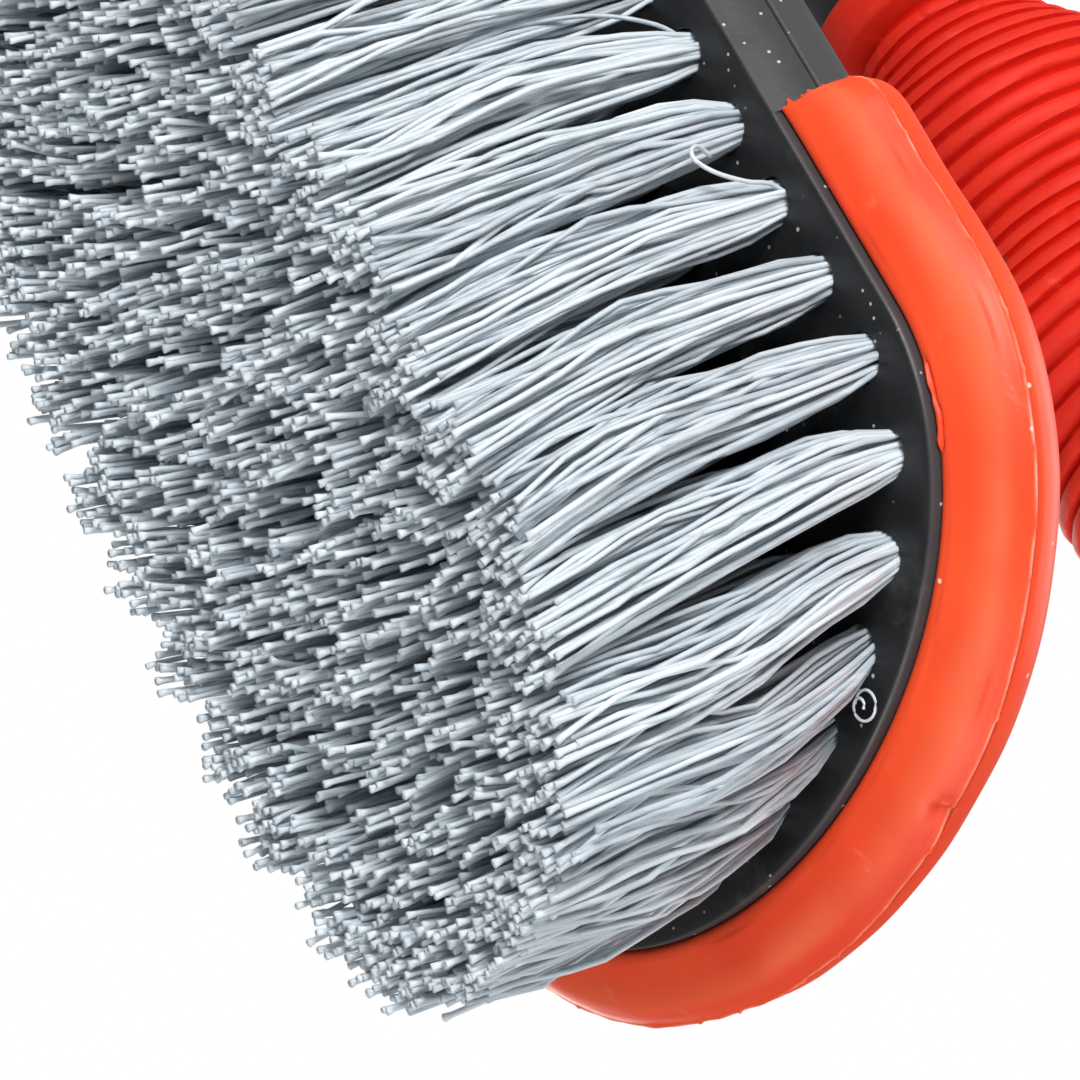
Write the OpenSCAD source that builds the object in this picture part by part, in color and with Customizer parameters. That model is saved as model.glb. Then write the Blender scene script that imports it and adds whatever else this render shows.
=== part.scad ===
// Wheel brush with an iron-style handle: a drilled block with staple-set tufts,
// a soft bumper round its nose, and a ribbed soft grip on a closed handle.
// The brush stands on its bristle tips. +X is the nose, +Z is up, millimetres.

/* [Head] */
// Length of the head, from the heel of the block to the tip of the bumper
head_len = 150; // [145:1:160]
// Distance from the centre line to the outer row of tufts
row_half_w = 28; // [26:0.5:30]
// How far the rounded ends of the outer row reach past its straight sides
end_reach = 19.3; // [17:0.1:22]
// Height of the block's edge, from the bristle face up to the seam
flange_h = 4.2; // [3.6:0.1:5]

/* [Bristles] */
// Distance from one tuft to the next along a row
tuft_pitch = 7.2; // [7:0.1:7.6]
// Free length of the bristles, from the block's face to the tips
trim = 30.5; // [26:0.5:34]
// Radius of a tuft hole
hole_r = 1.9; // [1.7:0.05:1.95]
// Depth of a tuft hole along its axis
hole_depth = 6; // [5:0.1:6.2]
// Width across the tips as a share of the width across the holes
tip_squeeze = 0.62; // [0.6:0.01:0.9]

/* [Bumper] */
// How far the bumper stands out from the outer row of tufts
bumper_out = 10.4; // [9.5:0.1:11.5]
// Where the bumper ends on each side, behind the start of the rounded nose
bumper_back = 18; // [14:0.5:24]

/* [Grip] */
// Height of the grip's axis above the bristle face at the rear collar
grip_h = 64.3; // [60.3:0.5:68.3]
// Rise of the grip towards the nose, in degrees
grip_tilt = 2.3; // [0:0.1:4]
// Length of the soft sleeve
sleeve_len = 64; // [60:1:66]
// Radius of the sleeve's smooth rear collar
collar_r = 10.1; // [9.8:0.1:10.6]
// Radius of the sleeve on both sides of its palm swell
grip_r = 13.9; // [13:0.1:14.2]
// How far the palm swell stands out
swell_h = 4; // [2:0.1:4.5]
// Distance from one rib to the next
rib_pitch = 2.12; // [2:0.02:2.4]
// Depth of the grooves between the ribs
rib_depth = 0.8; // [0.4:0.1:1]

/* [Hidden] */
$fn = 48;
black = [0.12, 0.12, 0.13];
red = [0.95, 0.27, 0.18];
steel = [0.72, 0.73, 0.75];
bristle = [0.72, 0.78, 0.83];

// Offsets of the block's side from the outer row of tufts.
plate_out = 4.4;
side_out = 6.05;
plate_top = 9;
dome_inset = -11;
dome_top = 13.2;

face_z = trim;
nose_x = head_len / 2 - bumper_out - end_reach;
heel_x = -head_len / 2 + side_out + end_reach;
straight = nose_x - heel_x;

// ---- outline of the head: two half ellipses joined by straight sides ----
end_step = 5;

// A point on a half ellipse about x, moved out by o along its normal.
function end_point(x, o, a) =
  let (n = [cos(a) / end_reach, sin(a) / row_half_w])
  [x + end_reach * cos(a), row_half_w * sin(a)] + o * n / norm(n);

function outline(o) = concat(
  [for (a = [-90:end_step:90]) end_point(nose_x, o, a)],
  [for (a = [90:end_step:270]) end_point(heel_x, o, a)]
);

// A closed solid through one ring of points per level; every ring has the same count.
module skin(rings) {
  n = len(rings[0]);
  m = len(rings);
  polyhedron(
    points = [for (r = rings) each r],
    faces = concat(
      [[for (i = [0:n - 1]) i]],
      [for (k = [0:m - 2], i = [0:n - 1])
        each let (j = (i + 1) % n, lo = k * n, hi = lo + n)
          [[lo + i, hi + i, hi + j], [lo + i, hi + j, lo + j]]],
      [[for (i = [n - 1:-1:0]) (m - 1) * n + i]]
    ),
    convexity = 6
  );
}

// The head's outline at each [offset, height above the face] level.
module head_loft(levels) {
  skin([for (l = levels) [for (p = outline(l[0])) [p.x, p.y, face_z + l[1]]]]);
}

// The head's outline at one offset, straight up between two heights above the face.
module head_slab(o, from, to) {
  translate([0, 0, face_z + from]) linear_extrude(to - from) polygon(outline(o));
}

// ---- where the tufts stand ----
// Arc length against angle, from the tip of a rounded end to its straight side.
arc_table = [for (a = 0, s = 0; a <= 90;
    s = s + norm(end_point(0, 0, a + 1) - end_point(0, 0, a)), a = a + 1) [s, a]];
quarter = arc_table[90][0];
half_run = 2 * quarter + straight;
edge_count = 2 * floor(half_run / tuft_pitch) + 1;
edge_pitch = 2 * half_run / edge_count;

function end_angle(s) = lookup(s, arc_table);
// A point on the +Y half of the outer row, at arc length s from the nose.
function edge_half(s) =
  s < quarter ? end_point(nose_x, 0, end_angle(s))
  : s < quarter + straight ? [nose_x + quarter - s, row_half_w]
  : end_point(heel_x, 0, 180 - end_angle(half_run - s));
function edge_point(k) =
  let (p = edge_half(abs(k) * edge_pitch)) k < 0 ? [p.x, -p.y] : p;

last_k = (edge_count - 1) / 2;
nose_k = floor(quarter / edge_pitch);
side_k = floor((quarter + straight) / edge_pitch);
edge_all = [for (k = [-last_k:last_k]) edge_point(k)];
// The straight sides' holes set the phase of the rows between them.
phase_x = nose_x + quarter - (nose_k + 1) * edge_pitch;
row_gap = 2 * row_half_w / 7;
edge_clear = 0.85 * tuft_pitch;

function edge_gap(p) = min([for (q = edge_all) norm(p - q)]);
// Rows 1 and 3 from the middle stand half a pitch from the outer row's holes.
function row_points(n, side) =
  let (y = side * (n - 0.5) * row_gap, shift = n == 2 ? 0 : edge_pitch / 2)
  [for (i = [-3:20]) let (p = [phase_x + shift - i * edge_pitch, y])
    if (abs(p.x - (nose_x + heel_x) / 2) < straight / 2 + end_reach - edge_clear / 2
        && edge_gap(p) > edge_clear) p];

// Each foot of the handle stands over two screws on the centre line, each screw amid four tufts.
function foot_near(x) = phase_x - (round((phase_x - x) / edge_pitch - 0.5) + 0.5) * edge_pitch;
front_foot_x = foot_near(29);
rear_foot_x = foot_near(-58);
screw_points = [for (foot_x = [front_foot_x, rear_foot_x], side = [-0.5, 0.5]) [foot_x + side * edge_pitch, 0]];

// ---- tufts, their holes and their staples ----
tip_r = 2.1;
tip_reach = head_len / 2 - 2.4;
function tip_of(p) = [
  p.x * tip_reach / (p.x > 0 ? nose_x + end_reach : -heel_x + end_reach),
  p.y * tip_squeeze
];

// Puts its child's +Z along a tuft, upwards from its tip, with z = 0 at the hole's mouth.
module along_tuft(p) {
  t = tip_of(p);
  d = [p.x - t.x, p.y - t.y, trim];
  translate([p.x, p.y, face_z]) rotate([-atan2(d.y, norm([d.x, d.z])), atan2(d.x, d.z), 0]) children();
}

staple = [3.4, 0.45, 1.4];
staple_lift = 1.2;
past = 8; // how far a tuft is drawn past its cut end

module tuft_hole(p) {
  along_tuft(p) translate([0, 0, -2]) cylinder(r = hole_r, h = hole_depth + 2);
}

module staple_at(p, over = 0) {
  along_tuft(p) translate([0, 0, hole_depth - staple_lift - staple.z / 2])
    cube([staple.x + over, staple.y, staple.z], center = true);
}

module tuft(p) {
  length = norm([p.x - tip_of(p).x, p.y - tip_of(p).y, trim]);
  difference() {
    along_tuft(p) {
      translate([0, 0, -1]) cylinder(r = hole_r, h = hole_depth + 1, $fn = 24);
      translate([0, 0, -length - past]) cylinder(r1 = tip_r, r2 = hole_r, h = length + past - 1, $fn = 24);
    }
    translate([-head_len, -head_len, -4 * past]) cube([2 * head_len, 2 * head_len, 4 * past]);
    staple_at(p, over = 1);
  }
}

module tuft_group(points) {
  color(bristle) for (p = points) tuft(p);
}

module tuft_staples() {
  color(steel) {
    for (p = edge_all) staple_at(p);
    for (n = [1:3], side = [-1, 1], p = row_points(n, side)) staple_at(p);
  }
}

// ---- nose bumper ----
// Section of the bumper as [offset from the outer row, height above the face].
bumper_section = [
  [plate_out, 1.3], [plate_out, 9.9], [5.8, 9.7], [7.6, 9.1], [9.1, 8], [10.1, 6.6],
  [bumper_out, 5], [bumper_out, 3.8], [9.2, 2.4], [7.4, 1.35], [5.4, 0.95],
];
bumper_round = 4; // the length over which each end grows to the full section

// Each stop along the bumper is [centre point, outward normal].
side_stops = [for (t = [0, 0.06, 0.25, 0.55, 1, 2, 3]) bumper_round * min(t, 1) + 4.5 * max(t - 1, 0)];
function side_stop(t, sgn) = [[nose_x - bumper_back + t, sgn * row_half_w], [0, sgn]];
function end_stop(a) =
  let (p = end_point(nose_x, 0, a), q = end_point(nose_x, 1, a)) [p, q - p];
bumper_stops = concat(
  [for (t = side_stops) concat(side_stop(t, -1), [t])],
  [for (a = [-90:end_step:90]) concat(end_stop(a), [bumper_back])],
  [for (i = [len(side_stops) - 1:-1:0]) concat(side_stop(side_stops[i], 1), [side_stops[i]])]
);

// Full size past the rounded ends, and 0.45 of it at each end face.
function bumper_grow(t) = t >= bumper_round ? 1 : 0.45 + 0.55 * sqrt(1 - pow(1 - t / bumper_round, 2));

module nose_bumper() {
  color(red) skin([for (s = bumper_stops)
    let (g = bumper_grow(s[2]))
    [for (q = bumper_section)
      let (o = plate_out + (q.x - plate_out) * g, p = s[0] + o * s[1])
      [p.x, p.y, face_z + q.y]]]);
}

// The rebate round the nose that the bumper fills.
module bumper_seat() {
  difference() {
    translate([nose_x - bumper_back, -head_len / 2, face_z - 1]) cube([head_len, head_len, 13]);
    head_slab(plate_out, -2, 13);
  }
}

// ---- drilled block ----
screw_r = 1.25;
screw_head_r = 2.8;
screw_head_h = 1.8;
screw_sink = 2;
screw_len = 20;

module brush_block() {
  color(black) difference() {
    union() {
      difference() {
        head_loft([[plate_out, 0], [side_out, flange_h]]);
        head_slab(plate_out - 0.2, -1, flange_h + 1);
        bumper_seat();
      }
      head_slab(plate_out, 0, 7.2);
      head_slab(3.4, 7, plate_top);
    }
    for (p = edge_all) tuft_hole(p);
    for (n = [1:3], side = [-1, 1], p = row_points(n, side)) tuft_hole(p);
    for (p = screw_points) translate([p.x, p.y, face_z - 1]) {
      cylinder(r = screw_r, h = plate_top + 3);
      cylinder(r = screw_head_r + 0.2, h = screw_sink + 1);
    }
  }
}

module block_screws() {
  color(steel) for (p = screw_points) translate([p.x, p.y, face_z + screw_sink]) difference() {
    union() {
      translate([0, 0, -screw_head_h]) cylinder(r = screw_head_r, h = screw_head_h);
      translate([0, 0, -0.5]) cylinder(r = screw_r, h = screw_len - 1.5);
      translate([0, 0, screw_len - 2]) cylinder(r1 = screw_r, r2 = 0.3, h = 2);
    }
    for (a = [0, 90]) rotate([0, 0, a])
      translate([-1.6, -0.4, -screw_head_h - 1]) cube([3.2, 0.8, 2]);
  }
}

// ---- grip axis and its profile ----
collar_len = 3.8;
sleeve_wall = 2.2;
neck_r = 9.4;
rib_start = 4.3;
first_rib_r = 8.3;
rib_ramp = 12.5; // the length over which the ribs rise to the full radius
// The small swell at the back of the hand, and the palm swell, as [middle, half length].
back_swell = [19, 8];
palm_swell = [38.5, 10.4];
back_swell_h = 0.9;
sleeve_x = nose_x - 61;

module along_grip() {
  translate([sleeve_x, 0, face_z + grip_h]) rotate([0, 90 - grip_tilt, 0]) children();
}

function smooth(t) = let (u = max(0, min(1, t))) u * u * (3 - 2 * u);
function swell(s, at) = (1 + cos(180 * min(1, abs(s - at[0]) / at[1]))) / 2;
// Radius of the sleeve's crests at distance s from the collar's rear end.
function crest_r(s) = first_rib_r + (grip_r - first_rib_r) * smooth((s - rib_start) / rib_ramp)
  + back_swell_h * swell(s, back_swell) + swell_h * swell(s, palm_swell);
function core_r(s) = crest_r(s) - sleeve_wall;

rib_count = floor((sleeve_len - rib_start - 1) / rib_pitch);
groove_w = 0.55;
// One groove: down its wall, along its floor and up again.
function groove(s) = [
  [crest_r(s) - 0.15, s], [crest_r(s) - rib_depth, s + 0.15],
  [crest_r(s) - rib_depth, s + groove_w - 0.15], [crest_r(s) - 0.15, s + groove_w],
  [crest_r(s) + 0.05, s + groove_w + 0.4], [crest_r(s) + 0.05, s + rib_pitch - 0.4],
];
core_steps = [for (s = [0:4:sleeve_len]) s];

module core_profile(grow) {
  polygon(concat([[0, 0]], [for (s = core_steps) [core_r(s) + grow, s]], [[0, sleeve_len]]));
}

module grip_sleeve() {
  color(red) difference() {
    along_grip() rotate_extrude() polygon(concat(
      [for (s = [sleeve_len:-4:0]) [core_r(s), s]],
      [[collar_r - 0.4, 0], [collar_r, 0.4], [collar_r, collar_len - 0.3], [collar_r - 0.3, collar_len]],
      [for (i = [0:rib_count - 1]) each groove(rib_start + i * rib_pitch)],
      [[crest_r(sleeve_len) - 0.3, sleeve_len]]
    ));
    front_post();
  }
}

plug_r = 7;
plug_stem = 9;
plug_head = 9;

module end_plug() {
  color(black) along_grip() rotate_extrude() polygon(concat(
    [[0, sleeve_len - plug_stem], [plug_r - 0.6, sleeve_len - plug_stem], [plug_r, sleeve_len - plug_stem + 1],
     [plug_r, sleeve_len]],
    [for (a = [0:10:80]) [crest_r(sleeve_len) * cos(a), sleeve_len + plug_head * sin(a)]],
    [[0, sleeve_len + plug_head]]
  ));
}

// ---- handle body: cover, rear arch, front post and the grip's core ----
oval_sides = 32;
// A ring of a squircle tube: centre, direction in the XZ plane, half depth, half width.
function oval(c, dir, a, b, k = 2.6) = [for (i = [0:oval_sides - 1])
  let (t = -360 * i / oval_sides, u = sign(cos(t)) * pow(abs(cos(t)), 2 / k), v = sign(sin(t)) * pow(abs(sin(t)), 2 / k))
  [c.x - a * u * sin(dir), b * v, c.y + a * u * cos(dir)]];

arch_turn_z = face_z + 32;
arch_top = [sleeve_x, face_z + grip_h];
// The arch's centre line turns a quarter ellipse from straight up to the grip's axis.
function arch_centre(a) = [
  rear_foot_x + (arch_top.x - rear_foot_x) * (1 - cos(a)),
  arch_turn_z + (arch_top.y - arch_turn_z) * sin(a)
];
function arch_dir(a) =
  atan2((arch_top.y - arch_turn_z) * cos(a), (arch_top.x - rear_foot_x) * sin(a)) + grip_tilt * a / 90;
function mix(p, q, t) = p + (q - p) * t;

module rear_arch() {
  foot_z = face_z + dome_top - 5;
  skin(concat(
    [for (t = [0, 0.12, 0.3, 0.6, 1])
      let (f = 1 - smooth(t * 1.4))
      oval([rear_foot_x + 3 * f, mix(foot_z, arch_turn_z, t)], 90, 9.2 + 3.5 * f, 11 + 4.5 * f)],
    [for (a = [8:8:88])
      let (t = smooth(a / 90))
      oval(arch_centre(a), arch_dir(a), mix(9.2, neck_r, t), mix(11, neck_r, t), mix(2.6, 2, t))],
    [oval(arch_top, grip_tilt, neck_r, neck_r, 2)]
  ));
}

// The front post leans back as it rises, from its flared foot to the middle of the sleeve.
post_top_x = 21;
post_half = 7;
post_top_half_w = 3.4;
module front_post() {
  foot_z = face_z + dome_top - 3;
  top_z = face_z + grip_h + 2;
  skin([for (t = [0, 0.06, 0.14, 0.26, 0.38, 0.5, 0.62, 0.74, 1])
    let (f = 1 - smooth(t * 3), x = mix(front_foot_x, post_top_x, smooth(t / 0.72)))
    oval([x + 1.2 * f, mix(foot_z, top_z, t)], 90, post_half + 5 * f, post_top_half_w + 1.8 * (1 - t) + 6 * f)]);
}

module cover() {
  difference() {
    head_loft([[side_out, flange_h], [5.9, 7.4], [5.3, 8.7], [3.4, 10], [0, 11.2], [-5, 12.4], [dome_inset, dome_top]]);
    head_loft([[plate_out, flange_h - 1], [plate_out, 7.2], [3.4, plate_top], [-1, plate_top + 0.9],
               [dome_inset, plate_top + 2]]);
  }
}

module handle_body() {
  color(black) difference() {
    union() {
      cover();
      for (p = screw_points) translate([p.x, p.y, face_z + plate_top]) cylinder(r = 3.4, h = 5);
      rear_arch();
      front_post();
      along_grip() rotate_extrude() core_profile(0);
    }
    bumper_seat();
    for (p = screw_points) translate([p.x, p.y, face_z + plate_top - 1]) {
      cylinder(r = screw_r, h = screw_sink + screw_len - plate_top + 1.6);
    }
    along_grip() translate([0, 0, 16]) cylinder(r = plug_r, h = sleeve_len);
  }
}

brush_block();
handle_body();
nose_bumper();
grip_sleeve();
end_plug();
block_screws();
tuft_staples();
tuft_group([for (k = [-nose_k:nose_k]) edge_point(k)]);  // tufts_nose
tuft_group([for (k = [nose_k + 1:side_k]) edge_point(k)]);  // tufts_left
tuft_group([for (k = [nose_k + 1:side_k]) edge_point(-k)]);  // tufts_right
tuft_group([for (k = [side_k + 1:last_k], side = [-1, 1]) edge_point(side * k)]);  // tufts_heel
tuft_group(row_points(3, 1));  // tufts_row_left_3
tuft_group(row_points(2, 1));  // tufts_row_left_2
tuft_group(row_points(1, 1));  // tufts_row_left_1
tuft_group(row_points(1, -1));  // tufts_row_right_1
tuft_group(row_points(2, -1));  // tufts_row_right_2
tuft_group(row_points(3, -1));  // tufts_row_right_3
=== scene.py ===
"""Wheel brush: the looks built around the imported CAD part.

Lengths are in millimetres until a mesh is made, and each shape repeats the formula of its CAD
node, more finely. Heights in a profile are above the block's face, the plane the tufts stand in.
"""

import math

import bmesh
import bpy
import numpy as np
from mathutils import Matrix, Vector, geometry
from mathutils.bvhtree import BVHTree


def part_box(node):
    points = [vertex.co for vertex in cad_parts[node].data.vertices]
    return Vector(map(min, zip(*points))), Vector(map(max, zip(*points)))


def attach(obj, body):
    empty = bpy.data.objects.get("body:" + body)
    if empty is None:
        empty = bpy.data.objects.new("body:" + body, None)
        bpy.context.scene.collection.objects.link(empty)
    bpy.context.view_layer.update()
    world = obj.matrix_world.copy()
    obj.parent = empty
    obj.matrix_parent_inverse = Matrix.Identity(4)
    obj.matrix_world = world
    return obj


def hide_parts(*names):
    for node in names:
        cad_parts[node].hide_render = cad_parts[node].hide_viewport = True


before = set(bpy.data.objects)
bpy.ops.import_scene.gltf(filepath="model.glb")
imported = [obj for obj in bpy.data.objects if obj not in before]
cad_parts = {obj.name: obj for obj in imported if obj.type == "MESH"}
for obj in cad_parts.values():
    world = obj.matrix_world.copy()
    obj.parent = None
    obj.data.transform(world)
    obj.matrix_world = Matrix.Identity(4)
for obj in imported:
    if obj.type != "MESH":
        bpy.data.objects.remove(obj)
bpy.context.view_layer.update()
MM = 0.001

# ---- sizes, from the CAD nodes' boxes and the CAD's own formulas ----
FACE_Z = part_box("brush_block")[0].z / MM
HEAD_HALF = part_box("nose_bumper")[1].x / MM

# the head's outline is an offset from the outer row of tufts: two straight sides, two half ellipses
HALF_W, END_REACH = 28.0, 19.3
PLATE_OUT, SIDE_OUT = 4.4, 6.05  # offsets of the block's edge at the face and at the seam
FLANGE_H = 4.2  # the seam
BUMPER_OUT, BUMPER_BACK = 10.4, 18.0  # the bumper's offset, and the length of its straight ends
FLASH_AT = 4.35  # the bumper's parting line
NOSE_X = HEAD_HALF - BUMPER_OUT - END_REACH
HEEL_X = -HEAD_HALF + SIDE_OUT + END_REACH
STRAIGHT = NOSE_X - HEEL_X
BUMPER_X = NOSE_X - BUMPER_BACK

# tufts: spacing aimed at, radius of a hole, and how far the tips lean in
PITCH_AIM, HOLE_R, HOLE_DEPTH = 7.2, 1.9, 3.0
TIP_SQUEEZE, TIP_REACH = 0.62, HEAD_HALF - 2.4
EDGE_CLEAR = 0.85 * PITCH_AIM  # least distance between an inner tuft and the outer row
INNER_ROWS, ROW_GAPS = (1, 2, 3), 7  # rows on each side, and gaps across the whole face
SCREW_SEAT_R, SCREW_SEAT_DEPTH = 3.0, 2.0

# grip: height and tilt of its axis, where the sleeve starts, and its radii
GRIP_H, GRIP_TILT = 64.3, math.radians(2.3)
SLEEVE_X, SLEEVE_LEN = NOSE_X - 61, 64.0
NECK_R, COLLAR_R, COLLAR_LEN = 9.4, 10.1, 3.8
FIRST_RIB_R, GRIP_R = 8.3, 13.9
BACK_SWELL, PALM_SWELL = (0.9, 19, 8), (4.0, 38.5, 10.4)  # height, middle, half length
RIB_START, RIB_RAMP, RIB_PITCH, RIB_DEPTH = 4.3, 12.5, 2.12, 0.8
PLUG_HEAD = 9.0

# the handle's rear arch and front post
ARCH_HALF, ARCH_HALF_W, ARCH_TURN_Z = 9.2, 11.0, FACE_Z + 32.0
ARCH_TOP = np.array([SLEEVE_X, FACE_Z + GRIP_H])
POST_TOP_X, POST_HALF, POST_TOP_HALF_W, POST_RISE = 21.0, 7.0, 3.4, GRIP_H + 2
FEET_START, FEET_END = 12.8, 17  # heights where a foot leaves the cover and where it is plain


# ---- small maths ----
def rng(seed):
    return np.random.default_rng(seed)


def turns(n):
    """n equal angles round a circle."""
    return np.arange(n) * 2 * np.pi / n


def smooth(t):
    u = np.clip(t, 0, 1)
    return u * u * (3 - 2 * u)


def bell(x, width):
    return np.exp(-((x / width) ** 2))


def ripple(u, seed, waves, lowest=1.0):
    """Smooth noise of about unit size along u."""
    g = rng(seed)
    out = 0
    for k in range(waves):
        out = out + np.sin(2 * np.pi * (u * lowest * 1.7**k + g.random())) * 0.75**k
    return out / 1.6


def run_length(points):
    """Distance along a line of points, from its first one."""
    return np.concatenate([[0], np.cumsum(np.linalg.norm(np.diff(points, axis=0), axis=1))])


def through(points, per_span):
    """A Catmull-Rom curve through open control points."""
    p = np.asarray(points, float)
    q = np.vstack([2 * p[0] - p[1], p, 2 * p[-1] - p[-2]])
    out = []
    for i in range(1, len(q) - 2):
        a, b, c, d = q[i - 1 : i + 3]
        square, cube = 2 * a - 5 * b + 4 * c - d, 3 * b - a - 3 * c + d
        for t in np.arange(per_span) / per_span:
            out.append(0.5 * (2 * b + (c - a) * t + square * t**2 + cube * t**3))
    return np.array(out + [p[-1]])


# ---- meshes ----
def grid(rows, cols):
    """Quads between rings of points, closed round each ring."""
    i = np.arange(rows - 1)[:, None] * cols
    j = np.arange(cols)[None]
    k = (j + 1) % cols
    return np.stack([i + j, i + k, i + cols + k, i + cols + j], -1).reshape(-1, 4)


class Shell:
    """Vertices and faces gathered into one piece."""

    SHARP = math.radians(48)

    def __init__(self):
        self.verts, self.faces, self.count = [], [], 0

    def add(self, verts, *face_sets):
        verts = np.asarray(verts, float).reshape(-1, 3)
        for fs in face_sets:
            self.faces.append(np.asarray(fs, int) + self.count)
        self.verts.append(verts)
        self.count += len(verts)

    def loft(self, rings, start=False, end=False):
        """A skin over rings of points, closed by a flat face at its start or end if asked."""
        rings = np.asarray(rings, float)
        rows, cols = rings.shape[:2]
        sets = [grid(rows, cols)]
        if start:
            sets.append(np.arange(cols)[::-1][None])
        if end:
            sets.append(((rows - 1) * cols + np.arange(cols))[None])
        self.add(rings, *sets)

    def mesh(self, name):
        verts = np.concatenate(self.verts) * MM
        totals = np.concatenate([np.full(len(f), f.shape[1]) for f in self.faces])
        loops = np.concatenate([f.ravel() for f in self.faces])
        me = bpy.data.meshes.new(name)
        me.vertices.add(len(verts))
        me.vertices.foreach_set("co", verts.ravel())
        me.loops.add(len(loops))
        me.loops.foreach_set("vertex_index", loops)
        me.polygons.add(len(totals))
        me.polygons.foreach_set("loop_start", np.concatenate([[0], np.cumsum(totals)[:-1]]))
        me.polygons.foreach_set("use_smooth", np.ones(len(totals), bool))
        me.update(calc_edges=True)
        me.validate()
        return me

    def piece(self, name, material, node, recalc=True):
        """The piece that stands for a CAD node; recalc turns its faces outwards."""
        me = self.mesh(name)
        if recalc:
            bm = bmesh.new()
            bm.from_mesh(me)
            bmesh.ops.recalc_face_normals(bm, faces=bm.faces)
            bm.to_mesh(me)
            bm.free()
        me.materials.append(material)
        ob = bpy.data.objects.new(name, me)
        bpy.context.scene.collection.objects.link(ob)
        if recalc:
            me.set_sharp_from_angle(angle=self.SHARP)
        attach(ob, "root")
        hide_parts(node)


# ---- outline of the head ----
OPEN_STOPS, COVERED_STOPS, NOSE_STOPS, HEEL_STOPS = 40, 12, 141, 91


def end_stop(x, a):
    """A point of the half ellipse about x and its outward normal, at angle a in degrees."""
    a = np.radians(np.asarray(a, float))
    n = np.stack([np.cos(a) / END_REACH, np.sin(a) / HALF_W], -1)
    n /= np.linalg.norm(n, axis=-1, keepdims=True)
    return np.stack([x + END_REACH * np.cos(a), HALF_W * np.sin(a)], -1), n


def side_stops(xs, side):
    """The same on a straight side, which is 1 or -1."""
    xs = np.asarray(xs, float)
    return np.stack([xs, np.full(len(xs), side * HALF_W)], -1), np.tile([0.0, side], (len(xs), 1))


def head_stops():
    """Stops all round the head, counter-clockwise from above: points, normals, under the bumper."""
    open_side = np.linspace(HEEL_X, BUMPER_X, OPEN_STOPS)
    near = np.concatenate([open_side, np.linspace(BUMPER_X, NOSE_X, COVERED_STOPS)[:-1]])
    covered = np.arange(len(near)) >= OPEN_STOPS
    nose = np.linspace(-90, 90, NOSE_STOPS)
    heel = np.linspace(90, 270, HEEL_STOPS)[1:-1]
    parts = (
        (*side_stops(near, -1), covered),
        (*end_stop(NOSE_X, nose), np.ones(len(nose), bool)),
        (*side_stops(near[::-1], 1), covered[::-1]),
        (*end_stop(HEEL_X, heel), np.zeros(len(heel), bool)),
    )
    return [np.concatenate(column) for column in zip(*parts)]


STOP_P, STOP_N, UNDER_BUMPER = head_stops()


def ring_at(offset, height):
    """The head's outline at an offset and a height, each one value or one for each stop."""
    offset, height = (
        np.broadcast_to(np.asarray(v, float), (len(STOP_P),))[:, None] for v in (offset, height)
    )
    return np.concatenate([STOP_P + STOP_N * offset, FACE_Z + height], 1)


# ---- where the tufts stand ----
ARC_A = np.arange(91)
ARC_S = run_length(end_stop(0, ARC_A)[0])
QUARTER = ARC_S[-1]
HALF_RUN = 2 * QUARTER + STRAIGHT
EDGE_COUNT = 2 * int(HALF_RUN / PITCH_AIM) + 1
PITCH = 2 * HALF_RUN / EDGE_COUNT


def edge_point(k):
    """The k-th tuft of the outer row, counted from the nose; k is negative on the right."""
    s = abs(k) * PITCH
    if s < QUARTER:
        p = end_stop(NOSE_X, np.interp(s, ARC_S, ARC_A))[0]
    elif s < QUARTER + STRAIGHT:
        p = np.array([NOSE_X + QUARTER - s, HALF_W])
    else:
        p = end_stop(HEEL_X, 180 - np.interp(HALF_RUN - s, ARC_S, ARC_A))[0]
    return np.array([p[0], -p[1] if k < 0 else p[1]])


LAST_K = (EDGE_COUNT - 1) // 2
NOSE_K = int(QUARTER / PITCH)
SIDE_K = int((QUARTER + STRAIGHT) / PITCH)
EDGE_ALL = np.array([edge_point(k) for k in range(-LAST_K, LAST_K + 1)])
PHASE_X = NOSE_X + QUARTER - (NOSE_K + 1) * PITCH
ROW_STEPS = range(-3, 21)  # more than enough to reach both ends


def row_points(n, side):
    """The n-th inner row from the centre line; rows 1 and 3 stand half a pitch off row 2."""
    out = []
    start = PHASE_X + (0 if n == 2 else PITCH / 2)
    y = side * (n - 0.5) * 2 * HALF_W / ROW_GAPS
    for i in ROW_STEPS:
        p = np.array([start - i * PITCH, y])
        off_middle = abs(p[0] - (NOSE_X + HEEL_X) / 2)
        inside = off_middle < STRAIGHT / 2 + END_REACH - EDGE_CLEAR / 2
        if inside and np.linalg.norm(EDGE_ALL - p, axis=1).min() > EDGE_CLEAR:
            out.append(p)
    return out


def foot_near(x):
    """The place nearest x on the centre line where two screws fit between four tufts each."""
    return PHASE_X - (round((PHASE_X - x) / PITCH - 0.5) + 0.5) * PITCH


FRONT_FOOT_X, REAR_FOOT_X = foot_near(29), foot_near(-58)
SCREWS = [
    np.array([x + half * PITCH, 0.0]) for x in (FRONT_FOOT_X, REAR_FOOT_X) for half in (-0.5, 0.5)
]
TUFTS = {
    "tufts_nose": [edge_point(k) for k in range(-NOSE_K, NOSE_K + 1)],
    "tufts_left": [edge_point(k) for k in range(NOSE_K + 1, SIDE_K + 1)],
    "tufts_right": [edge_point(-k) for k in range(NOSE_K + 1, SIDE_K + 1)],
    "tufts_heel": [edge_point(s * k) for k in range(SIDE_K + 1, LAST_K + 1) for s in (-1, 1)],
}
for side_name, side in (("left", 1), ("right", -1)):
    for n in INNER_ROWS:
        TUFTS[f"tufts_row_{side_name}_{n}"] = row_points(n, side)
ALL_TUFTS = np.concatenate([np.array(v) for v in TUFTS.values()])


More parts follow.
